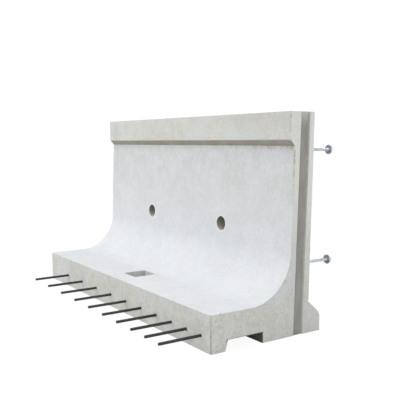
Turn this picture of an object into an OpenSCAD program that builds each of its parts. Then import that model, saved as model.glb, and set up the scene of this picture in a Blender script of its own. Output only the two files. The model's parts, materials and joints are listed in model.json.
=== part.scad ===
// Precast concrete flume side unit: one half of an open channel.
//
// The casting is an L in section, the same from end to end: a floor slab with a toe foot,
// a leaning wall with a thicker coping, and a heel behind the wall that stands on the ground.
// Bars stand out of the toe, to be cast into the channel's middle strip, and short rods with
// a washer and a nut stand out of the wall's back. A seal strip lies in a groove in each end.
//
// X runs along the channel, Y from the toe to the heel, Z up. The origin is on the ground,
// at the middle of the whole part's length and depth.

/* [Casting] */
// Length along the channel
unit_length = 2000; // [1200:50:3000]
// Height from the ground to the coping's top
unit_height = 1125; // [900:5:1500]
// Depth from the toe's face to the heel's face
base_depth = 687; // [640:1:1000]
// Height of the floor slab's top
slab_top = 185; // [150:1:260]

/* [Wall] */
// How far the wall's inner face moves back for each unit of height
inner_lean = 0.0344; // [0:0.0001:0.06]
// How far the wall's back moves back for each unit of height
back_lean = 0.0290; // [0:0.0001:0.06]
// Thickness of the wall just under the coping
wall_thick = 127; // [100:1:200]
// Distance from the wall's foot to the heel's face, at the top of the haunch
haunch_depth = 79; // [40:1:200]
// Height of the haunch's top, where the wall's back begins
haunch_top = 163; // [120:1:240]
// Height of the heel's upright face
heel_height = 92; // [60:1:110]
// Radius of the fillet between the floor and the wall
fillet_radius = 250; // [80:5:300]

/* [Coping] */
// Thickness of the coping at its top
coping_thick = 160; // [135:1:260]
// Height of the coping's upright face
coping_height = 139; // [80:1:220]
// Height and depth of the slope under the coping
coping_slope = 30; // [10:1:40]

/* [Underside] */
// Depth of the toe foot at the ground
foot_depth = 83; // [60:1:120]
// How far the foot's inner side leans in over its height
foot_splay = 15; // [5:1:30]
// Depth of the heel block that stands on the ground
heel_depth = 381; // [300:1:450]
// Height of the recess between the foot and the heel block
recess_height = 54; // [20:1:90]

/* [Weep holes] */
// Diameter of each weep hole
weep_dia = 80; // [40:1:120]
// Height of the weep holes' middle
weep_height = 510; // [480:1:700]
// Distance between the two weep holes
weep_spacing = 800; // [400:10:1000]

/* [Slab pocket] */
// Width and depth of the square pocket in the floor
pocket_size = 140; // [80:1:160]
// How deep the pocket goes down
pocket_deep = 50; // [20:1:90]
// Distance from the toe's face to the pocket's middle
pocket_place = 174; // [120:1:200]

/* [End grooves] */
// Width of the groove at the casting's end face
groove_width = 60; // [40:1:80]
// How deep the groove goes into the end face
groove_deep = 18; // [10:1:30]
// How far each side of the groove slopes in
groove_splay = 8; // [0:1:15]
// Distance from the heel's face to the groove's middle, at the ground
groove_place = 151; // [130:1:200]
// How far the groove moves back for each unit of height
groove_lean = 0.0365; // [0:0.0001:0.05]
// Thickness of the seal strip in the groove
strip_thick = 11; // [5:1:20]
// Clearance on each side of the seal strip, at the groove's floor
strip_gap = 0.5; // [0.3:0.1:2]

/* [Starter bars] */
// Number of starter bars
bar_count = 10; // [4:1:14]
// Diameter of a starter bar
bar_dia = 16; // [10:1:25]
// How far the bars stand out of the toe
bar_out = 230; // [100:5:400]
// Height of the bars' middle
bar_height = 72; // [60:1:110]
// Distance from the left end to the first bar
bar_left = 303; // [50:1:400]
// Distance from the last bar to the right end
bar_right = 82; // [50:1:400]
// How far the spacing closes up towards the right end, as a share of the mean spacing
bar_closing = 0.287; // [0:0.001:0.4]

/* [Rear rods] */
// Diameter of a rear rod
rod_dia = 16; // [10:1:20]
// How far the rods reach behind the heel's face
rod_out = 171; // [100:1:250]
// Distance from the casting's end to a rod
rod_margin = 100; // [60:1:300]
// Height of the lower rods
rod_low = 342; // [250:1:450]
// Distance from the coping's top down to the upper rods
rod_drop = 191; // [150:1:300]
// Diameter of the round washer
washer_dia = 50; // [30:1:70]
// Thickness of the round washer
washer_thick = 8; // [4:1:12]
// Width of the nut across its flats
nut_flats = 26; // [22:1:36]
// Thickness of the nut
nut_thick = 14; // [8:1:20]
// How far the rod's end stands out of the nut
rod_tip = 4; // [2:1:12]
// Clearance round a rod inside its nut
thread_gap = 0.2; // [0.1:0.05:0.5]
// Clearance round a rod inside its washer
washer_gap = 0.5; // [0.2:0.1:0.9]

/* [Hidden] */
$fn = 64;
eps = 1;                          // how far a cutter runs past the face it cuts

BARS = [for (i = [1:bar_count]) str("starter_bar_", i < 10 ? "0" : "", i)];
// Each rear rod: its name, its end of the casting and its height
PLACES = [
    ["lower_left", -1, rod_low],
    ["lower_right", 1, rod_low],
    ["upper_left", -1, unit_height - rod_drop],
    ["upper_right", 1, unit_height - rod_drop]
];

// Ends of the part, and the toe's place that centres its depth on the origin
half = unit_length / 2;
toe = (bar_out - base_depth - rod_out) / 2;
heel = toe + base_depth;
rod_end = heel + rod_out;

// Lines of the wall: its back starts at the haunch, its inner face is set from the back
wall_foot = heel - haunch_depth;
function back_y(z) = wall_foot + (z - haunch_top) * back_lean;
coping_under = unit_height - coping_height - coping_slope;
wall_face = back_y(coping_under) - wall_thick;
function inner_y(z) = wall_face + (z - coping_under) * inner_lean;
coping_face = back_y(unit_height) - coping_thick;
slope_y = inner_y(coping_under);

// Fillet: its centre is one radius above the floor and one radius in front of the wall
lean_angle = atan(inner_lean);
fillet_z = slab_top + fillet_radius;
fillet_y = inner_y(fillet_z) - fillet_radius / cos(lean_angle);
fillet_end = [fillet_y + fillet_radius * cos(lean_angle), fillet_z - fillet_radius * sin(lean_angle)];

// Groove: its middle at the ground, and its lean as an angle
groove_y = heel - groove_place;
groove_angle = atan(groove_lean);

// Starter bars: each spacing is shorter than the one before it by the same amount
bar_mean = (unit_length - bar_left - bar_right) / (bar_count - 1);
function bar_x(i) = -half + bar_left
    + bar_mean * (i + bar_closing * (i - i * (i - 1) / (bar_count - 2)));

// Rear rods: the washer and the nut stand one behind the other at the rod's end
function rod_x(side) = side * (half - rod_margin);
nut_y = rod_end - rod_tip - nut_thick;
washer_y = nut_y - washer_thick;

// The casting's section, in Y and Z, without its fillet
module outline() {
    polygon([
        [toe, 0],
        [toe + foot_depth, 0],
        [toe + foot_depth + foot_splay, recess_height],
        [heel - heel_depth, recess_height],
        [heel - heel_depth, 0],
        [heel, 0],
        [heel, heel_height],
        [wall_foot, haunch_top],
        [back_y(unit_height), unit_height],
        [coping_face, unit_height],
        [coping_face, coping_under + coping_slope],
        [slope_y, coping_under],
        [inner_y(slab_top), slab_top],
        [toe, slab_top]
    ]);
}

// What the fillet adds in the corner between the floor and the wall
module fillet() {
    difference() {
        polygon([[fillet_y, slab_top - eps], [inner_y(slab_top - eps) + eps, slab_top - eps],
            [fillet_end[0] + eps, fillet_end[1]], fillet_end, [fillet_y, slab_top]]);
        translate([fillet_y, fillet_z]) circle(r = fillet_radius, $fn = 180);
    }
}

// The whole section drawn out along the channel
module section_along(length) {
    rotate([90, 0, 90]) translate([0, 0, -length / 2]) linear_extrude(length) {
        outline();
        fillet();
    }
}

// A leaning run up the right end face: width and depth at the face, each side sloping in
module end_run(width, splay, deep, from) {
    translate([half, groove_y, 0]) rotate([-groove_angle, 0, 0])
        translate([0, 0, from]) linear_extrude(2 * unit_height)
            polygon([[0, -width / 2], [0, width / 2],
                [-deep, width / 2 - splay], [-deep, splay - width / 2]]);
}

// The groove's cutter, which runs past the end face and out of both the top and the ground
module groove_cutter() {
    end_run(groove_width, groove_splay, groove_deep, -unit_height / 2);
    translate([eps, 0, 0]) end_run(groove_width, 0, eps, -unit_height / 2);
}

module weep_hole(x) {
    translate([x, inner_y(weep_height) - wall_thick, weep_height])
        rotate([-90, 0, 0]) cylinder(d = weep_dia, h = 3 * wall_thick);
}

module pocket() {
    translate([-pocket_size / 2, toe + pocket_place - pocket_size / 2, slab_top - pocket_deep])
        cube([pocket_size, pocket_size, pocket_deep + eps]);
}

module concrete_unit() {
    color("gainsboro") difference() {
        section_along(unit_length);
        groove_cutter();
        mirror([1, 0, 0]) groove_cutter();
        weep_hole(-weep_spacing / 2);
        weep_hole(weep_spacing / 2);
        pocket();
    }
}

// The strip lies flat on the groove's floor, and is trimmed at the coping's top and the ground
module seal_strip(side) {
    color("dimgray") mirror([side < 0 ? 1 : 0, 0, 0]) intersection() {
        translate([strip_thick - groove_deep, 0, 0])
            end_run(groove_width - 2 * (groove_splay + strip_gap), 0, strip_thick, -unit_height / 2);
        section_along(2 * unit_length);
    }
}

module starter_bar(i) {
    color("darkslategray") translate([bar_x(i), toe - bar_out, bar_height])
        rotate([-90, 0, 0]) cylinder(d = bar_dia, h = bar_out);
}

// The rod's inner end is cut to the wall's leaning back, where it meets the casting
module rear_rod(side, z) {
    start = back_y(z) - rod_dia;
    color("silver") difference() {
        translate([rod_x(side), start, z]) rotate([-90, 0, 0]) cylinder(d = rod_dia, h = rod_end - start);
        section_along(2 * unit_length);
    }
}

module rear_washer(side, z) {
    color("silver") translate([rod_x(side), washer_y, z]) rotate([-90, 0, 0]) difference() {
        cylinder(d = washer_dia, h = washer_thick);
        translate([0, 0, -eps]) cylinder(d = rod_dia + 2 * washer_gap, h = washer_thick + 2 * eps);
    }
}

module rear_nut(side, z) {
    color("silver") translate([rod_x(side), nut_y, z]) rotate([-90, 0, 0]) difference() {
        cylinder(d = nut_flats / cos(30), h = nut_thick, $fn = 6);
        translate([0, 0, -eps]) cylinder(d = rod_dia + 2 * thread_gap, h = nut_thick + 2 * eps);
    }
}

concrete_unit();
seal_strip(-1);  // seal_strip_left
seal_strip(1);  // seal_strip_right
for (i = [1:bar_count])
    starter_bar(i - 1);
for (p = PLACES) {
    rear_rod(p[1], p[2]);
    rear_washer(p[1], p[2]);
    rear_nut(p[1], p[2]);
}
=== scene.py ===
# %% [markdown]
# # One half of a precast concrete flume
#
# The real object is a single concrete casting, L-shaped in section and two metres long, with
# ten starter bars standing out of its toe, two weep holes through its wall, a seal strip in
# each end and four rods with a washer and a nut behind the wall.
#
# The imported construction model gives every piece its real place. This script builds the finish
# around it: a casting with soft, chipped edges and air holes, ribbed bars, threaded rods, and
# the materials, the light and the camera. Everything is in metres, +Z up.

# %% Load the construction model
import json
import math
import random

import bmesh
import bpy
from mathutils import Matrix, Vector

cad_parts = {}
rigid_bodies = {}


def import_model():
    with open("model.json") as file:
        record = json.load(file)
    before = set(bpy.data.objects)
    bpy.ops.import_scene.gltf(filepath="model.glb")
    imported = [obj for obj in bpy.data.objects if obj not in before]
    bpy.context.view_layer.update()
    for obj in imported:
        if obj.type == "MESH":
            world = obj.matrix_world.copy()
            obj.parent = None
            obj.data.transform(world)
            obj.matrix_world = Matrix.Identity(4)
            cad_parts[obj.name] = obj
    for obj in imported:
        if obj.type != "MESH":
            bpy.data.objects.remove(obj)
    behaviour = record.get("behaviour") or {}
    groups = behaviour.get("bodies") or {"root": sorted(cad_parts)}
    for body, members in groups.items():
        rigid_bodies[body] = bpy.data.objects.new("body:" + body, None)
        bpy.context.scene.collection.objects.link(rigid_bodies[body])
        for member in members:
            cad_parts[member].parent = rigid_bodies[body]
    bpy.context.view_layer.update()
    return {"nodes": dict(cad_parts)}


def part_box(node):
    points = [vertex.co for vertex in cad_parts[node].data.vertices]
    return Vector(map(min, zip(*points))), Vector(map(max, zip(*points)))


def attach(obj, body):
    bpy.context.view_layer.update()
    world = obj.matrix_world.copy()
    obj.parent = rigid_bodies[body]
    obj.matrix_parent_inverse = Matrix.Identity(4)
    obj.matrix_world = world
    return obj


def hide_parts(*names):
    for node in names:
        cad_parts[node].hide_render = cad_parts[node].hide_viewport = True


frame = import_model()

# %% [markdown]
# ## Sizes
#
# The casting's box comes from the construction model. The section's other sizes are the ones
# that the model is built from: heights are above the ground, and depths are from the toe's face
# at the front and from the heel's face at the back.

# %% Sizes of the casting
cast_low, cast_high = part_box("concrete_unit")
HALF = cast_high[0]
TOE = cast_low[1]
HEEL = cast_high[1]
TOP = cast_high[2]

SLAB_TOP = 0.185
FOOT_DEPTH, FOOT_SPLAY, RECESS = 0.083, 0.015, 0.054
HEEL_BLOCK, HEEL_HEIGHT = 0.381, 0.092
HAUNCH_TOP, HAUNCH_DEPTH = 0.163, 0.079
WALL_FOOT = HEEL - HAUNCH_DEPTH
BACK_LEAN, INNER_LEAN = 0.0290, 0.0344
COPING_THICK, COPING_HEIGHT, COPING_SLOPE = 0.160, 0.139, 0.030
WALL_THICK = 0.127
FILLET = 0.250
COPING_UNDER = TOP - COPING_HEIGHT - COPING_SLOPE


def back_y(z):
    """Where the wall's back is at a height."""
    return WALL_FOOT + (z - HAUNCH_TOP) * BACK_LEAN


def inner_y(z):
    """Where the wall's inner face is at a height."""
    return back_y(COPING_UNDER) - WALL_THICK + (z - COPING_UNDER) * INNER_LEAN


COPING_FACE = back_y(TOP) - COPING_THICK
print("wall's inner face at its foot and its top:", inner_y(SLAB_TOP), inner_y(COPING_UNDER))

# %% [markdown]
# ## Tools
#
# An operator acts on all that is selected, so each job starts by deselecting everything and
# picking one object. Faces and edges are then picked by their place or by where they point,
# as they would be by eye.


# %% Selecting
def pick(piece):
    """Makes one object the only selected and active one."""
    if bpy.context.object and bpy.context.object.mode != "OBJECT":
        bpy.ops.object.mode_set(mode="OBJECT")
    bpy.ops.object.select_all(action="DESELECT")
    piece.select_set(True)
    bpy.context.view_layer.objects.active = piece


def edit(piece, part="VERT"):
    """Opens one object in edit mode with nothing selected."""
    pick(piece)
    bpy.ops.object.mode_set(mode="EDIT")
    bpy.ops.mesh.select_mode(type=part)
    bpy.ops.mesh.select_all(action="DESELECT")


def done():
    """Closes edit mode."""
    bpy.ops.object.mode_set(mode="OBJECT")


def select_where(piece, part, test):
    """Selects the vertices, edges or faces that pass a test, and says how many they are."""
    shape = bmesh.from_edit_mesh(piece.data)
    items = {"VERT": shape.verts, "EDGE": shape.edges, "FACE": shape.faces}[part]
    found = [item for item in items if test(item)]
    for item in found:
        item.select_set(True)
    shape.select_flush_mode()
    bmesh.update_edit_mesh(piece.data)
    return len(found)


# %% Finishing
def settle(piece):
    """Puts a piece's place into its mesh, so that its object sits at the origin."""
    pick(piece)
    bpy.ops.object.transform_apply(location=True, rotation=True, scale=True)
    return piece


def outward(piece):
    """Merges doubles and turns every face outwards."""
    edit(piece)
    bpy.ops.mesh.select_all(action="SELECT")
    bpy.ops.mesh.remove_doubles(threshold=1e-5)
    bpy.ops.mesh.normals_make_consistent(inside=False)
    done()
    return piece


def apply_modifier(piece, kind, **settings):
    """Adds a modifier, sets it and applies it."""
    pick(piece)
    modifier = piece.modifiers.new(kind.title(), kind)
    for key, value in settings.items():
        setattr(modifier, key, value)
    bpy.ops.object.modifier_apply(modifier=modifier.name)


def cut(piece, cutter, operation="DIFFERENCE", crossing=False):
    """Cuts one solid with another, whose own parts may cross, and throws the cutter away."""
    apply_modifier(piece, "BOOLEAN", object=cutter, operation=operation, solver="EXACT",
                   use_self=crossing)
    bpy.data.objects.remove(cutter)


def slice_flat(piece, planes, **settings):
    """Bisects a whole piece by flat planes, each given as a point and a direction."""
    edit(piece)
    for point, facing in planes:
        bpy.ops.mesh.select_all(action="SELECT")
        bpy.ops.mesh.bisect(plane_co=point, plane_no=facing, **settings)
    done()


def smooth(piece, angle):
    """Shades a piece smooth where its faces meet at less than an angle in degrees."""
    pick(piece)
    bpy.ops.object.shade_smooth_by_angle(angle=math.radians(angle))


def copy_of(piece, name, shift):
    """Copies a finished piece, with a mesh of its own, moved by a vector."""
    twin = piece.copy()
    twin.data = piece.data.copy()
    twin.name = twin.data.name = name
    bpy.context.collection.objects.link(twin)
    twin.data.transform(Matrix.Translation(shift))
    return twin


# %% [markdown]
# ## Drawing an outline
#
# A section is drawn as it would be by hand: a plane is merged down to one vertex, which is
# extruded from corner to corner and closed into a face. The face is then pulled along the
# length. It is quicker than carving the section out of boxes, and each corner is one point.


# %% Outlines
def trace(name, corners, closed=True):
    """Draws a line from corner to corner, and fills it when it is closed."""
    first = Vector(corners[0])
    bpy.ops.object.select_all(action="DESELECT")
    bpy.ops.mesh.primitive_plane_add(size=0.01, location=(0, 0, 0))
    piece = bpy.context.object
    piece.name = piece.data.name = name
    edit(piece)
    bpy.ops.mesh.select_all(action="SELECT")
    bpy.ops.mesh.merge(type="CENTER")
    bpy.ops.transform.translate(value=first)
    for before, after in zip(corners, corners[1:]):
        step = Vector(after) - Vector(before)
        bpy.ops.mesh.extrude_vertices_move(TRANSFORM_OT_translate={"value": step})
    if closed:
        bpy.ops.mesh.select_all(action="SELECT")
        bpy.ops.mesh.edge_face_add()
    done()
    return piece


def draw_out(name, corners, along):
    """Draws an outline and pulls it along a vector into a solid."""
    piece = trace(name, corners)
    edit(piece)
    bpy.ops.mesh.select_all(action="SELECT")
    bpy.ops.mesh.extrude_region_move(TRANSFORM_OT_translate={"value": Vector(along)})
    done()
    return outward(piece)


def lathe(name, profile, steps):
    """Turns a profile of (radius, place) pairs round the Y axis into a solid."""
    piece = trace(name, [(radius, place, 0) for radius, place in profile], closed=False)
    edit(piece)
    bpy.ops.mesh.select_all(action="SELECT")
    bpy.ops.mesh.spin(steps=steps, angle=math.tau, center=(0, 0, 0), axis=(0, 1, 0))
    done()
    return outward(piece)


# %% [markdown]
# ## The casting
#
# The section is traced once and pulled along the channel. The fillet between the floor and
# the wall is a bevel of the inner corner: a bevel's width is measured from the corner, so it
# is the fillet's radius divided by the tangent of half the angle between the two faces.

# %% Section of the casting
section = [
    (TOE, 0),
    (TOE + FOOT_DEPTH, 0),
    (TOE + FOOT_DEPTH + FOOT_SPLAY, RECESS),
    (HEEL - HEEL_BLOCK, RECESS),
    (HEEL - HEEL_BLOCK, 0),
    (HEEL, 0),
    (HEEL, HEEL_HEIGHT),
    (WALL_FOOT, HAUNCH_TOP),
    (back_y(TOP), TOP),
    (COPING_FACE, TOP),
    (COPING_FACE, COPING_UNDER + COPING_SLOPE),
    (inner_y(COPING_UNDER), COPING_UNDER),
    (inner_y(SLAB_TOP), SLAB_TOP),
    (TOE, SLAB_TOP),
]
casting = draw_out("concrete_casting", [(-HALF, y, z) for y, z in section], (2 * HALF, 0, 0))
print("casting's corners along its section:", len(section))

# %% Fillet between the floor and the wall
corner = Vector((0, inner_y(SLAB_TOP), SLAB_TOP))
face_angle = math.pi / 2 + math.atan(INNER_LEAN)
fillet_reach = FILLET / math.tan(face_angle / 2)


def runs_along(edge, place, reach=1e-4):
    """True when an edge lies along X at a place in the section."""
    return all((Vector((0, v.co.y, v.co.z)) - place).length < reach for v in edge.verts)


edit(casting, "EDGE")
print("fillet edges:", select_where(casting, "EDGE", lambda edge: runs_along(edge, corner)))
bpy.ops.mesh.bevel(offset=fillet_reach, offset_type="OFFSET", segments=28, profile=0.5, affect="EDGES",
                   clamp_overlap=False)
done()

# %% [markdown]
# The weep holes, the floor pocket and the end grooves are left by formers in the mould, so
# each is cut out with a solid of the former's shape. The groove leans with the wall, so its
# cutter's outline is pulled along a leaning line.

# %% Weep holes and pocket
WEEP_RADIUS, WEEP_HEIGHT, WEEP_PLACE = 0.040, 0.510, 0.400
POCKET, POCKET_DEEP, POCKET_PLACE = 0.140, 0.050, 0.174
wall_middle = (inner_y(WEEP_HEIGHT) + back_y(WEEP_HEIGHT)) / 2
for side in (-1, 1):
    bpy.ops.object.select_all(action="DESELECT")
    bpy.ops.mesh.primitive_cylinder_add(vertices=72, radius=WEEP_RADIUS, depth=3 * WALL_THICK,
                                        location=(side * WEEP_PLACE, wall_middle, WEEP_HEIGHT),
                                        rotation=(math.pi / 2, 0, 0))
    cut(casting, settle(bpy.context.object))
pocket_y = TOE + POCKET_PLACE
half_pocket = POCKET / 2
pocket_corners = [(x, pocket_y + y, SLAB_TOP - POCKET_DEEP) for x, y in
                  ((-half_pocket, -half_pocket), (half_pocket, -half_pocket),
                   (half_pocket, half_pocket), (-half_pocket, half_pocket))]
cut(casting, draw_out("pocket_former", pocket_corners, (0, 0, 2 * POCKET_DEEP)))
print("holes and pocket cut:", len(casting.data.polygons), "faces")

# %% Grooves in the ends
GROOVE_WIDTH, GROOVE_DEEP, GROOVE_SPLAY, GROOVE_LEAN = 0.060, 0.018, 0.008, 0.0365
GROOVE_PLACE = 0.151
groove_y = HEEL - GROOVE_PLACE
OVERRUN, PAST_END = 0.050, 0.010


def end_run(name, outline, side, low, high):
    """A leaning solid at one end: its outline is (depth from the end face, distance across)."""
    start = groove_y + low * GROOVE_LEAN
    corners = [(side * (HALF - deep), start + across, low) for deep, across in outline]
    rise = high - low
    return draw_out(name, corners, (0, rise * GROOVE_LEAN, rise))


half_groove = GROOVE_WIDTH / 2
groove_floor = half_groove - GROOVE_SPLAY
flare = GROOVE_SPLAY * PAST_END / GROOVE_DEEP
groove_outline = [(-PAST_END, -half_groove - flare), (-PAST_END, half_groove + flare),
                  (GROOVE_DEEP, groove_floor), (GROOVE_DEEP, -groove_floor)]
for side in (-1, 1):
    cut(casting, end_run("groove_former", groove_outline, side, -OVERRUN, TOP + OVERRUN))
print("grooves cut:", len(casting.data.polygons), "faces")

# %% [markdown]
# A cast edge is never a knife edge: the mould's corner leaves it round by a few millimetres.
# Every sharp edge is bevelled before the chips are knocked out, because a bevel on a chipped
# edge would fold over itself.

# %% Soft edges
EDGE_ROUND = 0.0035
WEEP_ROUND = 0.0028


def on_weep_rim(edge, y_of, near=0.001):
    """True when an edge is part of a weep hole's rim on one of the wall's two faces."""
    for vertex in edge.verts:
        x, y, z = vertex.co
        reach = math.hypot(abs(x) - WEEP_PLACE, z - WEEP_HEIGHT)
        if abs(reach - WEEP_RADIUS) > near or abs(y - y_of(z)) > near:
            return False
    return True


edit(casting, "EDGE")
print("rim edges:", select_where(casting, "EDGE", lambda edge: on_weep_rim(edge, inner_y)))
bpy.ops.mesh.bevel(offset=WEEP_ROUND, offset_type="OFFSET", segments=3, profile=0.5, affect="EDGES",
                   clamp_overlap=True)
done()
edit(casting, "EDGE")
bpy.ops.mesh.edges_select_sharp(sharpness=math.radians(24))
bpy.ops.mesh.bevel(offset=EDGE_ROUND, offset_type="OFFSET", segments=3, profile=0.5, affect="EDGES",
                   clamp_overlap=True)
done()
outward(casting)
print("casting with soft edges:", len(casting.data.polygons), "faces")

# %% [markdown]
# Handling knocks small pieces off the edges, and air trapped against the mould leaves round
# holes in the upright faces. Both are real hollows, so they are cut with rough little stones:
# ico spheres whose corners are pushed in and out. All the stones are one mesh and one cut. Two
# that would stand too close for their sizes can't both be cut cleanly, so the later is dropped.

# %% Places for chips and air holes
dice = random.Random(17)
STONE_SPACING = 2.4


def along_edge(y, z):
    """A random place on an edge that runs along the channel."""
    return (dice.uniform(-0.97, 0.97) * HALF, y, z)


def on_toe():
    """A random place on the toe's upright face."""
    return (dice.uniform(-0.98, 0.98) * HALF, TOE, dice.uniform(0.012, SLAB_TOP - 0.012))


def on_coping():
    """A random place on the coping's upright face."""
    height = (COPING_UNDER + 0.045, TOP - 0.012)
    return (dice.uniform(-0.98, 0.98) * HALF, COPING_FACE, dice.uniform(*height))


def on_end(side):
    """A random place on an end face, in the wall or in the floor slab."""
    if dice.random() < 0.5:
        height = dice.uniform(0.25, TOP - 0.02)
        groove_side = groove_y + height * GROOVE_LEAN - 0.045
        return (side * HALF, dice.uniform(inner_y(height) + 0.012, groove_side), height)
    return (side * HALF, dice.uniform(TOE + 0.02, groove_y - 0.06), dice.uniform(0.075, SLAB_TOP - 0.015))


def on_back():
    """A random place on the wall's back."""
    height = dice.uniform(HAUNCH_TOP + 0.03, TOP - 0.03)
    return (dice.uniform(-0.97, 0.97) * HALF, back_y(height), height)


long_edges = [(TOE, SLAB_TOP), (TOE, 0.0), (COPING_FACE, TOP), (back_y(TOP), TOP),
              (COPING_FACE, COPING_UNDER + COPING_SLOPE), (HEEL, HEEL_HEIGHT), (WALL_FOOT, HAUNCH_TOP)]
stones = []
for y, z in long_edges:
    stones += [(along_edge(y, z), dice.uniform(0.003, 0.0065)) for _ in range(9)]
for side in (-1, 1):
    stones += [((side * HALF, y, z), dice.uniform(0.006, 0.010)) for y, z in long_edges]
    stones += [((side * HALF, TOE, dice.uniform(0.02, 0.17)), dice.uniform(0.004, 0.008)) for _ in range(3)]
stones += [((HALF, TOE + 0.055, SLAB_TOP - 0.003), 0.005), ((HALF, WALL_FOOT + 0.004, HAUNCH_TOP), 0.006)]
chips = len(stones)
stones += [(on_toe(), dice.uniform(0.0012, 0.0028)) for _ in range(70)]
stones += [(on_coping(), dice.uniform(0.0012, 0.0028)) for _ in range(60)]
stones += [(on_end(side), dice.uniform(0.0012, 0.0030)) for side in (-1, 1) for _ in range(34)]
stones += [(on_back(), dice.uniform(0.0015, 0.0035)) for _ in range(70)]
kept = []
for place, size in stones:
    gaps = [(Vector(place) - Vector(other)).length / (size + reach) for other, reach in kept]
    if all(gap > STONE_SPACING for gap in gaps):
        kept.append((place, size))
print("chips:", chips, "air holes:", len(stones) - chips, "kept, clear of each other:", len(kept))

# %% [markdown]
# A face with dozens of holes in it is hard to fill and to shade. The casting is first bisected
# into short bays and low tiers, so that each face gets only a few of the holes. The planes are
# shifted by a share of a bay and of a tier, so that none falls on an edge or a hole's middle.

# %% Bays and tiers
BAYS, BAY_SHIFT = 24, 0.37
TIERS, TIER_SHIFT = 14, 0.21
bay_planes = [((-HALF + 2 * HALF * (bay + BAY_SHIFT) / (BAYS + 1), 0, 0), (1, 0, 0))
              for bay in range(1, BAYS)]
tier_planes = [((0, 0, TOP * (tier + TIER_SHIFT) / TIERS), (0, 0, 1)) for tier in range(1, TIERS)]
slice_flat(casting, bay_planes + tier_planes)
print("casting in bays:", len(casting.data.polygons), "faces")

# %% Cut the chips and air holes
bpy.ops.object.select_all(action="DESELECT")
bpy.ops.mesh.primitive_ico_sphere_add(subdivisions=1, radius=1.0)
stone = bpy.context.object
pebbles = []
for place, size in kept:
    pebble = stone.copy()
    pebble.data = stone.data.copy()
    bpy.context.collection.objects.link(pebble)
    for vertex in pebble.data.vertices:
        vertex.co *= dice.uniform(0.75, 1.15)
    stretch = Vector((dice.uniform(1.0, 1.9), 1.0, dice.uniform(0.8, 1.2))) * size
    pebble.data.transform(Matrix.Translation(place) @ Matrix.Diagonal(stretch).to_4x4())
    pebbles.append(pebble)
bpy.data.objects.remove(stone)
pick(pebbles[0])
for pebble in pebbles:
    pebble.select_set(True)
bpy.ops.object.join()
cut(casting, bpy.context.object, crossing=True)
outward(casting)
smooth(casting, 30)
apply_modifier(casting, "WEIGHTED_NORMAL", keep_sharp=True, weight=100)
print("finished casting:", len(casting.data.polygons), "faces")

# %% Stand the casting in for the construction model's
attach(casting, "root")
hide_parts("concrete_unit")

# %% [markdown]
# ## Seal strips
#
# The strip is a flat band of foam rubber, glued to the groove's floor and cut off level at the
# top and the bottom. It is traced with its two outer corners rounded and two shallow lines
# along it, pulled up the lean, and bisected level at both ends.

# %% Seal strips
STRIP_THICK, STRIP_GAP, STRIP_ROUND, STRIP_LINE = 0.011, 0.0005, 0.002, 0.0008
strip_half = groove_floor - STRIP_GAP
strip_floor = GROOVE_DEEP
strip_face = GROOVE_DEEP - STRIP_THICK
half_outline = [
    (strip_floor, strip_half),
    (strip_face + STRIP_ROUND, strip_half),
    (strip_face + STRIP_ROUND * 0.3, strip_half - STRIP_ROUND * 0.3),
    (strip_face, strip_half - STRIP_ROUND),
    (strip_face, strip_half * 0.40),
    (strip_face + STRIP_LINE, strip_half * 0.36),
    (strip_face, strip_half * 0.32),
]
strip_outline = half_outline + [(deep, -across) for deep, across in reversed(half_outline)]
for side, name in ((-1, "left"), (1, "right")):
    strip = end_run("seal_band_" + name, strip_outline, side, -OVERRUN, TOP + OVERRUN)
    for height, outer, inner in ((0.0, False, True), (TOP, True, False)):
        slice_flat(strip, [((0, 0, height), (0, 0, 1))], use_fill=True, clear_outer=outer,
                   clear_inner=inner)
    outward(strip)
    smooth(strip, 30)
    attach(strip, "root")
    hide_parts("seal_strip_" + name)
    print(strip.name, "faces:", len(strip.data.polygons))

# %% [markdown]
# ## Starter bars
#
# A reinforcing bar is rolled with slanting ribs round it and two straight ribs along it, so
# that concrete grips it. One bar is turned on the lathe, one slanting rib is a thin ring, and
# an array repeats the ring along the bar. The straight ribs are two thin blocks with rounded
# edges. The bar's free end has a small chamfer.

# %% One ribbed bar
BAR_CORE, BAR_CHAMFER = 0.0074, 0.0012
RIB_STEP, RIB_HEIGHT, RIB_WIDE, RIB_SLANT = 0.011, 0.0006, 0.0022, math.radians(14)
bar_low, bar_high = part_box("starter_bar_01")
bar_length = bar_high[1] - bar_low[1]
bar = lathe("ribbed_bar", [(0, 0), (BAR_CORE - BAR_CHAMFER, 0), (BAR_CORE, BAR_CHAMFER),
                           (BAR_CORE, bar_length), (0, bar_length)], 20)
bpy.ops.object.select_all(action="DESELECT")
bpy.ops.mesh.primitive_torus_add(major_segments=20, minor_segments=5, major_radius=BAR_CORE,
                                 minor_radius=RIB_HEIGHT, location=(0, RIB_STEP, 0),
                                 rotation=(math.pi / 2 - RIB_SLANT, 0, 0))
rib = settle(bpy.context.object)
rib_count = int((bar_length - RIB_STEP) / RIB_STEP)
apply_modifier(rib, "ARRAY", count=rib_count, use_relative_offset=False, use_constant_offset=True,
               constant_offset_displace=(0, RIB_STEP, 0))
long_ribs = []
for side in (-1, 1):
    bpy.ops.object.select_all(action="DESELECT")
    middle = (side * (BAR_CORE + RIB_HEIGHT * 0.1), bar_length / 2, 0)
    bpy.ops.mesh.primitive_cube_add(size=1, location=middle)
    long_rib = bpy.context.object
    long_rib.scale = (RIB_HEIGHT * 1.4, bar_length - 2 * BAR_CHAMFER, RIB_WIDE)
    settle(long_rib)
    apply_modifier(long_rib, "BEVEL", width=0.0003, segments=2)
    long_ribs.append(long_rib)
pick(bar)
for piece in [rib] + long_ribs:
    piece.select_set(True)
bpy.ops.object.join()
print("one bar:", len(bar.data.polygons), "faces,", rib_count, "slanting ribs")

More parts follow.
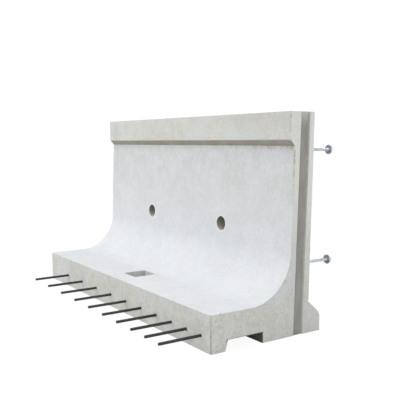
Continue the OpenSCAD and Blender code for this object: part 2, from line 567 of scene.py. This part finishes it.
# %% Ten bars, each where the construction model has it
bar_names = sorted(name for name in frame["nodes"] if name.startswith("starter_bar_"))
for name in bar_names:
    low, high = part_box(name)
    foot = Vector(((low[0] + high[0]) / 2, low[1], (low[2] + high[2]) / 2))
    twin = copy_of(bar, name.replace("starter", "ribbed"), foot)
    smooth(twin, 35)
    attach(twin, "root")
    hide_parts(name)
bpy.data.objects.remove(bar)
print("bars placed:", len(bar_names))

# %% [markdown]
# ## Rods, washers and nuts behind the wall
#
# A rod is turned on the lathe with its thread as a row of shallow grooves at its free end, and
# its foot is cut to the wall's lean. The washer has rounded rims. The nut is a six-sided block
# whose corners are turned off by a cone at both ends, as a real nut's are: what it shares with
# a turned blank is kept.

# %% Thread, washer and nut profiles
ROD_RADIUS, ROD_CHAMFER = 0.008, 0.0015
PITCH, THREAD_LONG, THREAD_DEEP, PLAIN_TIP = 0.002, 0.070, 0.0009, 0.003
WASHER_GAP, WASHER_RIM, NUT_GAP, NUT_EDGE = 0.0005, 0.0012, 0.0002, 0.0004
NUT_TURNED, NUT_CONE = 0.96, math.radians(30)


def rod_profile(length):
    """Profile of a rod from its foot to its tip, threaded over its last stretch."""
    points = [(0, 0), (ROD_RADIUS, 0), (ROD_RADIUS, length - THREAD_LONG)]
    turns = int((THREAD_LONG - PLAIN_TIP) / PITCH)
    for turn in range(turns):
        start = length - THREAD_LONG + turn * PITCH
        points += [(ROD_RADIUS - THREAD_DEEP, start + PITCH * 0.5), (ROD_RADIUS, start + PITCH)]
    return points + [(ROD_RADIUS - ROD_CHAMFER, length), (0, length)]


def washer_blank(name, bore, radius, thick, rim):
    """A flat ring with rounded rims, its near face at the origin."""
    bend = rim * 0.3
    ring = [(bore, rim), (bore + rim, 0), (radius - rim, 0), (radius - bend, bend), (radius, rim),
            (radius, thick - rim), (radius - bend, thick - bend), (radius - rim, thick),
            (bore + rim, thick), (bore, thick - rim), (bore, rim)]
    return lathe(name, ring, 48)


def nut_blank(name, bore, flats, thick, past=0.001):
    """A hexagonal nut with turned corners, its near face at the origin."""
    corner_radius = flats / math.sqrt(3)
    bpy.ops.object.select_all(action="DESELECT")
    bpy.ops.mesh.primitive_cylinder_add(vertices=6, radius=corner_radius, depth=thick,
                                        location=(0, thick / 2, 0), rotation=(math.pi / 2, 0, 0))
    nut = settle(bpy.context.object)
    nut.name = nut.data.name = name
    turned = flats / 2 * NUT_TURNED
    outside = corner_radius + past
    slope = (outside - turned) * math.tan(NUT_CONE)
    blank = [(bore, -past), (bore, thick + past), (turned - past, thick + past), (turned, thick),
             (outside, thick - slope), (outside, slope),
             (turned, 0), (turned - past, -past), (bore, -past)]
    cut(nut, lathe("nut_former", blank, 48), "INTERSECT")
    apply_modifier(nut, "BEVEL", width=NUT_EDGE, segments=2, limit_method="ANGLE",
                   angle_limit=math.radians(30))
    return nut


# %% The four sets, each where the construction model has it
steel = []
for name in sorted(n for n in frame["nodes"] if n.startswith("rear_")):
    low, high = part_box(name)
    centre = Vector(((low[0] + high[0]) / 2, low[1], (low[2] + high[2]) / 2))
    long_way = high[1] - low[1]
    if "rod" in name:
        piece = lathe("rod", rod_profile(long_way), 20)
        wall_plane = ((0, ROD_RADIUS * BACK_LEAN, 0), (0, -1, BACK_LEAN))
        slice_flat(piece, [wall_plane], use_fill=True, clear_outer=True, clear_inner=False)
    elif "washer" in name:
        washer_radius = (high[0] - low[0]) / 2
        piece = washer_blank("washer", ROD_RADIUS + WASHER_GAP, washer_radius, long_way, WASHER_RIM)
    else:
        piece = nut_blank("nut", ROD_RADIUS + NUT_GAP, high[2] - low[2], long_way)
    outward(piece)
    piece.data.transform(Matrix.Translation(centre))
    piece.name = piece.data.name = name.replace("rear", "zinc")
    smooth(piece, 28)
    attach(piece, "root")
    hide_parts(name)
    steel.append(piece)
print("rear pieces:", [piece.name for piece in steel])

# %% [markdown]
# ## Writing materials as expressions
#
# A material is a graph of nodes, and so is the world. One small class wraps an output socket,
# so that maths on it can be written as maths, and one method adds any other kind of node.


# %% A field: one socket that can be reckoned with
class Field:
    """A value or colour that varies over a surface: one output socket of a graph."""

    def __init__(self, graph, socket):
        self.graph = graph
        self.socket = socket

    def __add__(self, other):
        return self.graph.math("ADD", self, other)

    def __radd__(self, other):
        return self.graph.math("ADD", other, self)

    def __sub__(self, other):
        return self.graph.math("SUBTRACT", self, other)

    def __rsub__(self, other):
        return self.graph.math("SUBTRACT", other, self)

    def __mul__(self, other):
        return self.graph.math("MULTIPLY", self, other)

    def __rmul__(self, other):
        return self.graph.math("MULTIPLY", other, self)

    def step(self, low, high, start=0.0, end=1.0):
        """Goes smoothly from start to end as the value rises from low to high."""
        inputs = {"Value": self, "From Min": low, "From Max": high, "To Min": start, "To Max": end}
        return self.graph.node("ShaderNodeMapRange", {"interpolation_type": "SMOOTHSTEP"}, inputs)

    def fall(self, low, high, end=0.0):
        """Falls smoothly from 1 to an end value as the value rises from low to high."""
        return self.step(low, high, 1.0, end)

    def band(self, low, low_full, high_full, high):
        """Is 1 between two values, and falls smoothly to 0 outside them."""
        return self.step(low, low_full) * self.fall(high_full, high)


# %% A graph: what makes and joins the nodes
class Graph:
    """The nodes of a material or of the world."""

    def __init__(self, owner):
        owner.use_nodes = True
        self.tree = owner.node_tree

    def node(self, kind, settings, inputs, output=0):
        """Adds a node, sets it, feeds its inputs, and gives one of its outputs."""
        made = self.tree.nodes.new(kind)
        for key, value in settings.items():
            setattr(made, key, value)
        for key, value in inputs.items():
            self.feed(made.inputs[key], value)
        return Field(self, made.outputs[output])

    def math(self, operation, *values):
        """A Math node on one or two values."""
        return self.node("ShaderNodeMath", {"operation": operation}, dict(enumerate(values)))

    def feed(self, socket, value):
        """Links a field to a socket, or sets the socket to a plain value."""
        if isinstance(value, Field):
            self.tree.links.new(value.socket, socket)
        else:
            socket.default_value = value

    def rays(self):
        """Whether a ray is the camera's, a reflection, or light through a clear body."""
        kinds = ("Is Camera Ray", "Is Glossy Ray", "Is Transmission Ray")
        return [self.node("ShaderNodeLightPath", {}, {}, kind) for kind in kinds]


# %% A paint: the graph of one material
class Paint(Graph):
    """A material under construction."""

    def __init__(self, name):
        self.material = bpy.data.materials.new(name)
        super().__init__(self.material)
        self.shader = self.tree.nodes["Principled BSDF"]
        self.place = self.node("ShaderNodeTexCoord", {}, {}, "Object")

    def axis(self, letter):
        """One coordinate of the place on the surface."""
        return self.node("ShaderNodeSeparateXYZ", {}, {"Vector": self.place}, letter)

    def facing(self, letter):
        """How far the surface faces one way, from -1 to 1."""
        normal = self.node("ShaderNodeNewGeometry", {}, {}, "Normal")
        return self.node("ShaderNodeSeparateXYZ", {}, {"Vector": normal}, letter)

    def noise(self, scale, detail, roughness=0.55, stretch=(1, 1, 1), shift=(0, 0, 0)):
        """Cloudy noise, from about 0 to 1, as so many blobs a metre."""
        placed = {"Vector": self.place, "Scale": stretch, "Location": shift}
        where = self.node("ShaderNodeMapping", {}, placed)
        inputs = {"Vector": where, "Scale": scale, "Detail": detail, "Roughness": roughness}
        return self.node("ShaderNodeTexNoise", {}, inputs, "Fac")

    def cells(self, scale, output="Distance"):
        """Scattered points: the distance to the nearest, or its own random colour."""
        return self.node("ShaderNodeTexVoronoi", {}, {"Vector": self.place, "Scale": scale}, output)

    def mix(self, factor, first, second):
        """Two colours mixed by a factor."""
        settings = {"data_type": "RGBA", "clamp_factor": True}
        return self.node("ShaderNodeMix", settings, {0: factor, 6: first, 7: second}, 2)

    def bump(self, height, distance, strength):
        """A normal that follows a height."""
        inputs = {"Height": height, "Distance": distance, "Strength": strength}
        return self.node("ShaderNodeBump", {}, inputs)

    def set(self, **sockets):
        """Feeds the shader's own sockets, named with underscores for spaces."""
        for key, value in sockets.items():
            self.feed(self.shader.inputs[key.replace("_", " ")], value)


# %% [markdown]
# ## Concrete
#
# Fresh precast concrete is pale, with slow clouds in its tone, a fine sandy grain, dark pin
# holes, a bluish bloom where the steel mould pressed the channel's face, and warmer grey on the
# toe, the ends and the coping. The channel's face is painted lighter low down, as bounce light
# from the floor, and darker towards the wall's top, as painted shade. Thin brown streaks run down
# from under the coping, and its top is grimy towards the right. The slope under the coping is
# painted dark as shade, mottled with brown dirt, and the crease at its foot has a painted shadow
# line with brown dirt. The insides of the weep holes are painted light at the bottom and shaded
# at the top, the recess under the slab is painted dark as shade, and some arrises of the right
# end are stained. Each is one field, and they are laid over one another.

# %% Concrete: its colours
PLAIN, PLAIN_DARK = (0.585, 0.585, 0.550, 1), (0.485, 0.480, 0.440, 1)
# The channel's face: a lighter tone low down, painted bounce light from the floor, and a darker one high
# up, painted shade.
LOW_BOUNCE_LIT, LOW_BOUNCE_LIT_DARK = (0.700, 0.712, 0.732, 1), (0.630, 0.642, 0.658, 1)
HIGH_SHADED, HIGH_SHADED_DARK = (0.600, 0.612, 0.618, 1), (0.515, 0.520, 0.512, 1)
END_PALE, BLUE_GREY = (0.690, 0.682, 0.625, 1), (0.565, 0.585, 0.600, 1)
# The crease colour is a painted shadow line with brown dirt.
DRIP_BROWN, CREASE_SHADOW_AND_DIRT = (0.290, 0.240, 0.170, 1), (0.200, 0.178, 0.130, 1)
# The slope colour is painted shade with brown dirt.
SLOPE_SHADE_AND_DIRT, GRIME_BROWN = (0.225, 0.203, 0.152, 1), (0.430, 0.395, 0.310, 1)
WEATHER_BROWN, RIM_PALE = (0.400, 0.375, 0.315, 1), (0.800, 0.790, 0.730, 1)
# The weep holes' two colours are painted light for their bottoms and painted shade for their tops.
HOLE_LOW_LIT, HOLE_TOP_SHADE = (0.520, 0.490, 0.415, 1), (0.105, 0.100, 0.080, 1)
SHADE, CORNER_BROWN = (0.055, 0.053, 0.045, 1), (0.255, 0.212, 0.150, 1)
ARRIS_BROWN, PIN_DARK = (0.260, 0.218, 0.155, 1), (0.170, 0.160, 0.140, 1)
SPOT_BROWN, SPECK_GREY = (0.240, 0.210, 0.170, 1), (0.300, 0.290, 0.270, 1)
SAND_PALE = (0.820, 0.820, 0.810, 1)

# %% Concrete: where each kind of surface is
concrete = Paint("concrete_cast")
across = concrete.axis("X")
depth = concrete.axis("Y")
height = concrete.axis("Z")
to_end = concrete.facing("X")
end_face = (to_end * to_end).step(0.30, 0.60)
off_end = 1 - end_face
over_floor = height.step(SLAB_TOP - 0.004, SLAB_TOP + 0.001)
below_coping = height.fall(COPING_UNDER - 0.002, COPING_UNDER + 0.004)
in_front = depth.fall(inner_y(TOP) + 0.004, inner_y(TOP) + 0.012)
channel = over_floor * below_coping * in_front * off_end
print("places on the casting:", len(concrete.tree.nodes), "nodes")

# %% Concrete: tone
clouds = concrete.noise(2.6, detail=4.0, roughness=0.6)
mottle = concrete.noise(13.0, detail=5.0, roughness=0.68)
blots = concrete.noise(55.0, detail=4.0, roughness=0.7)
sand = concrete.noise(260.0, detail=3.0, roughness=0.7)
tone = (clouds * 0.22 + mottle * 0.38 + blots * 0.40).step(0.39, 0.61)
plain = concrete.mix(tone, PLAIN_DARK, PLAIN)
# Painted light and shade on the channel's face: lighter low down, standing in for bounce light from the
# floor, darker towards the wall's top, standing in for shade.
up_wall_into_shade = height.step(0.25, 0.95)
pressed_lit_and_shaded = concrete.mix(up_wall_into_shade, concrete.mix(tone, LOW_BOUNCE_LIT_DARK, LOW_BOUNCE_LIT), concrete.mix(tone, HIGH_SHADED_DARK, HIGH_SHADED))
colour = concrete.mix(channel, plain, pressed_lit_and_shaded)
print("concrete tone:", len(concrete.tree.nodes), "nodes")

# %% Concrete: drips, crease and grime
to_right = across.step(0.35 * HALF, 0.85 * HALF, 0.10, 1.0)
near_coping = height.step(COPING_UNDER - 0.030, COPING_UNDER - 0.006) * below_coping
streaks = concrete.noise(40.0, detail=4.0, roughness=0.7, stretch=(1, 1, 0.60)).step(0.44, 0.60)
drips = near_coping * streaks * to_right * in_front
colour = concrete.mix(drips * 0.70, colour, DRIP_BROWN)
# Painted shadow: a dark brown line in the crease where the slope under the coping meets the wall, partly
# brown dirt.
crease = height.band(COPING_UNDER - 0.003, COPING_UNDER + 0.001, COPING_UNDER + 0.004, COPING_UNDER + 0.012)
crease_shadow_and_dirt = crease * mottle.step(0.30, 0.60, 0.40, 1.0) * in_front * off_end
colour = concrete.mix(crease_shadow_and_dirt * 0.80, colour, CREASE_SHADOW_AND_DIRT)
near_top = height.step(TOP - 0.11, TOP - 0.01)
grime = across.step(0.0, HALF) * near_top * mottle.step(0.40, 0.62) * off_end
colour = concrete.mix(grime * 0.50, colour, GRIME_BROWN)
print("concrete drips and grime:", len(concrete.tree.nodes), "nodes")

# %% Concrete: the ends, the slope and the weather
high_end = end_face * height.step(0.28, 0.75)
colour = concrete.mix(high_end * 0.75, colour, END_PALE)
# Painted shade: the slope under the coping faces down and is painted dark brown in mottled patches, partly
# brown dirt.
slope = height.band(COPING_UNDER - 0.001, COPING_UNDER + 0.003, COPING_UNDER + 0.026, COPING_UNDER + 0.032)
slope_shade_and_dirt = slope * mottle.step(0.30, 0.70, 0.72, 0.95)
colour = concrete.mix(slope_shade_and_dirt * in_front * off_end, colour, SLOPE_SHADE_AND_DIRT)
weather = concrete.noise(5.0, detail=5.0, roughness=0.7, stretch=(1, 1, 0.25), shift=(3, 1, 0))
blue_patch = concrete.noise(4.0, detail=2.0, shift=(0, 5, 2))
elsewhere = (1 - channel) * (1 - slope)
colour = concrete.mix(weather.step(0.52, 0.78) * 0.30 * elsewhere, colour, WEATHER_BROWN)
colour = concrete.mix(blue_patch.step(0.50, 0.64) * 0.45 * elsewhere, colour, BLUE_GREY)
print("concrete stains:", len(concrete.tree.nodes), "nodes")

# %% Concrete: weep holes and the recess
out_x = concrete.math("ABSOLUTE", across) - WEEP_PLACE
out_z = height - WEEP_HEIGHT
from_hole = concrete.math("SQRT", out_x * out_x + out_z * out_z)
hole_wall = from_hole.fall(WEEP_RADIUS + 0.0020, WEEP_RADIUS + 0.0032)
rim = (1 - hole_wall) * from_hole.fall(WEEP_RADIUS + 0.005, WEEP_RADIUS + 0.010) * in_front
# Painted light and shade inside each weep hole: lighter at its bottom, which faces up, and very dark at its
# top, which faces down.
hole_light_and_shade = concrete.mix(out_z.step(-0.036, 0.026), HOLE_LOW_LIT, HOLE_TOP_SHADE)
colour = concrete.mix(rim * 0.95, colour, RIM_PALE)
colour = concrete.mix(hole_wall * (0.75 + blots * 0.2), colour, hole_light_and_shade)
recess_low = height.fall(RECESS + 0.001, RECESS + 0.004)
recess_from, recess_to = TOE + FOOT_DEPTH, HEEL - HEEL_BLOCK
recess_deep = depth.band(recess_from + 0.004, recess_from + 0.010, recess_to + 0.002, recess_to + 0.005)
colour = concrete.mix(recess_low * recess_deep * 0.92, colour, SHADE)
print("concrete hollows:", len(concrete.tree.nodes), "nodes")

# %% Concrete: dirty arrises of the right end
at_end = across.step(HALF - 0.010, HALF - 0.003)
at_corner = at_end * depth.fall(TOE + 0.002, TOE + 0.009)
corner_low = height.fall(0.02, 0.16, 0.55) * blots.step(0.30, 0.55, 0.35, 1.0)
colour = concrete.mix(at_corner * corner_low * 0.70, colour, CORNER_BROWN)
wall_line = height * INNER_LEAN + (inner_y(COPING_UNDER) - COPING_UNDER * INNER_LEAN)
wall_arris = (depth - wall_line).fall(0.002, 0.010) * height.step(0.55, 0.90) * below_coping
on_coping_face = height.step(COPING_UNDER + 0.060, COPING_UNDER + 0.075)
coping_arris = depth.fall(COPING_FACE + 0.002, COPING_FACE + 0.008) * on_coping_face
arris_dirt = at_end * (wall_arris + coping_arris) * blots.step(0.44, 0.60)
colour = concrete.mix(arris_dirt * 0.65, colour, ARRIS_BROWN)
print("concrete arrises:", len(concrete.tree.nodes), "nodes")


# %% Concrete: grain, pin holes and bump
def pores(scale, reach, kept_from, channel_name):
    """Round pits at a few of many scattered points; reach is a share of the points' spacing."""
    near = concrete.cells(scale)
    own_colour = concrete.cells(scale, "Color")
    luck = concrete.node("ShaderNodeSeparateColor", {}, {"Color": own_colour}, channel_name)
    return near.fall(reach * 0.4, reach) * luck.step(kept_from, kept_from + 0.12)


patchy = clouds.step(0.36, 0.62, 0.35, 1.0)
pins = pores(105.0, 0.32, 0.66, "Red") * (1 - channel * 0.72) * patchy
spots = pores(46.0, 0.17, 0.66, "Green") * (1 - channel * 0.35)
specks = concrete.noise(420.0, detail=1.0).step(0.58, 0.72)
colour = concrete.mix(pins * 0.72, colour, PIN_DARK)
colour = concrete.mix(spots * 0.60, colour, SPOT_BROWN)
colour = concrete.mix(specks * 0.25, colour, SPECK_GREY)
colour = concrete.mix(sand.step(0.35, 0.75) * 0.14, colour, SAND_PALE)
relief = mottle * 0.4 + blots * 0.2 + sand * 0.10 - pins * 0.9 - spots * 0.5
concrete.set(Base_Color=colour, Roughness=mottle.step(0.3, 0.7, 0.74, 0.92), Specular_IOR_Level=0.30,
             Normal=concrete.bump(relief, 0.0016, 0.8))
print("concrete:", len(concrete.tree.nodes), "nodes")

# %% [markdown]
# ## Foam rubber, mill scale and zinc
#
# The seal is a matt dark foam, painted lighter near its top as light from above falls into the
# groove. The bars are black with rolling scale, with a little rust in patches. The rods, washers
# and nuts are zinc plated: bright, slightly blue, with cloudy dull patches.

# %% Seal
FOAM_DARK, FOAM_LIGHT = (0.255, 0.252, 0.235, 1), (0.315, 0.310, 0.288, 1)
# Painted light: a paler tone for the strip's top, where light from above falls into the groove.
FOAM_TOP_LIGHT = (0.500, 0.500, 0.465, 1)
seal = Paint("seal_foam")
# Painted light: the strip goes paler towards its top.
seal_top_light = seal.axis("Z").step(TOP - 0.075, TOP - 0.004)
seal_cloud = seal.noise(24.0, detail=4.0, stretch=(1, 1, 0.3))
foam = seal.mix(seal_cloud.step(0.35, 0.65), FOAM_DARK, FOAM_LIGHT)
foam = seal.mix(seal_top_light * 0.75, foam, FOAM_TOP_LIGHT)
seal.set(Base_Color=foam, Roughness=seal_cloud.step(0.3, 0.7, 0.78, 0.95), Specular_IOR_Level=0.25,
         Normal=seal.bump(seal.cells(700.0), 0.0006, 0.5))
print("seal:", len(seal.tree.nodes), "nodes")

# %% Bars
SCALE_DARK, SCALE_GREY, RUST = (0.018, 0.019, 0.020, 1), (0.060, 0.060, 0.058, 1), (0.085, 0.055, 0.038, 1)
scale = Paint("mill_scale")
scale_cloud = scale.noise(60.0, detail=5.0, roughness=0.7)
rust = scale.noise(35.0, detail=5.0, roughness=0.75, shift=(2, 2, 2)).step(0.56, 0.74)
bar_colour = scale.mix(scale_cloud.step(0.35, 0.70), SCALE_DARK, SCALE_GREY)
bar_colour = scale.mix(rust * 0.55, bar_colour, RUST)
scale.set(Base_Color=bar_colour, Roughness=scale_cloud.step(0.3, 0.7, 0.45, 0.75), Metallic=0.35,
          Normal=scale.bump(scale_cloud, 0.0004, 0.6))
print("bars:", len(scale.tree.nodes), "nodes")

# %% Zinc
ZINC_DULL, ZINC_BRIGHT = (0.360, 0.400, 0.460, 1), (0.620, 0.660, 0.710, 1)
zinc = Paint("zinc_plate")
zinc_cloud = zinc.noise(90.0, detail=4.0, roughness=0.65)
plating = zinc.mix(zinc_cloud.step(0.35, 0.65), ZINC_DULL, ZINC_BRIGHT)
zinc.set(Base_Color=plating, Roughness=zinc_cloud.step(0.3, 0.7, 0.30, 0.50), Metallic=1.0,
         Normal=zinc.bump(zinc_cloud, 0.0002, 0.3))
print("zinc:", len(zinc.tree.nodes), "nodes")

# %% Give every piece its material
finish_of = {"concrete_casting": concrete, "seal_band": seal, "ribbed_bar": scale, "zinc_": zinc}
painted = 0
for piece in bpy.data.objects:
    for start, paint in finish_of.items():
        if piece.type == "MESH" and piece.name.startswith(start):
            piece.data.materials.clear()
            piece.data.materials.append(paint.material)
            painted += 1
print("pieces painted:", painted)

# %% [markdown]
# ## Floor, light and camera
#
# The floor keeps the part's soft shadow but is white to the camera elsewhere, and the world is
# white to the camera and to reflections. Three wide lamps, overhead, at the front left and
# beyond the right end, give the tops, the front and the end three near tones.

# %% Floor
FLOOR_DROP, FLOOR_GREY, GLOW, GLOW_SHARE = 0.0005, (0.82, 0.82, 0.82, 1), 1.05, 0.90
bpy.ops.object.select_all(action="DESELECT")
bpy.ops.mesh.primitive_plane_add(size=60, location=(0, 0, -FLOOR_DROP))
floor = bpy.context.object
floor.name = "studio_floor"
ground = Paint("studio_floor_white")
ground.set(Base_Color=FLOOR_GREY, Roughness=0.9)
seen, mirrored, through = ground.rays()
glow = ground.node("ShaderNodeEmission", {}, {"Color": (1, 1, 1, 1), "Strength": GLOW})
lit = Field(ground, ground.shader.outputs[0])
share = (seen + mirrored + through) * GLOW_SHARE
surface = ground.node("ShaderNodeMixShader", {}, {0: share, 1: lit, 2: glow})
ground.feed(ground.tree.nodes["Material Output"].inputs["Surface"], surface)
floor.data.materials.append(ground.material)
print("floor:", len(ground.tree.nodes), "nodes")

# %% World
AIR_COLOUR, AIR_LIGHT, AIR_SEEN = (0.97, 0.985, 1.0, 1), 0.62, 1.05
world = bpy.data.worlds.new("studio_air")
bpy.context.scene.world = world
air = Graph(world)
seen, mirrored, through = air.rays()
any_seen = air.math("MAXIMUM", air.math("MAXIMUM", seen, mirrored), through)
backdrop = air.tree.nodes["Background"]
air.feed(backdrop.inputs["Color"], AIR_COLOUR)
strength = air.node("ShaderNodeMix", {}, {0: any_seen, 2: AIR_LIGHT, 3: AIR_SEEN})
air.feed(backdrop.inputs["Strength"], strength)
print("world:", len(air.tree.nodes), "nodes")


# %% Lamps
def lamp(name, place, target, size, power):
    """A square soft box that points at a target."""
    data = bpy.data.lights.new(name, "AREA")
    data.shape = "SQUARE"
    data.size = size
    data.energy = power
    box = bpy.data.objects.new(name, data)
    box.location = place
    box.rotation_euler = (Vector(target) - Vector(place)).to_track_quat("-Z", "Y").to_euler()
    bpy.context.collection.objects.link(box)


lamp("soft_box_above", (-0.5, -1.5, 4.6), (0, 0, 0.2), 3.2, 112)
lamp("soft_box_front", (-1.8, -4.6, 2.0), (0, 0.2, 0.5), 2.4, 58)
lamp("soft_box_right", (4.6, 1.0, 1.9), (0.9, 0, 0.6), 2.4, 46)
print("lamps:", len(bpy.data.lights))

# %% Camera
eye = bpy.data.cameras.new("camera")
eye.sensor_fit = "HORIZONTAL"
eye.sensor_width = 36.0
eye.lens = 56.69
camera = bpy.data.objects.new("camera", eye)
right = Vector((0.55703, 0.83049, -0.00336))
forward = Vector((-0.82699, 0.55430, -0.09396))
up = right.cross(forward)
turn = Matrix((right, up, -forward)).transposed().to_4x4()
stand = Vector((3.31416, -1.92206, 0.98324))
camera.matrix_world = Matrix.Translation(stand) @ turn
bpy.context.collection.objects.link(camera)
bpy.context.scene.camera = camera
bpy.context.scene.view_settings.view_transform = "Standard"
print("camera at", tuple(camera.location))
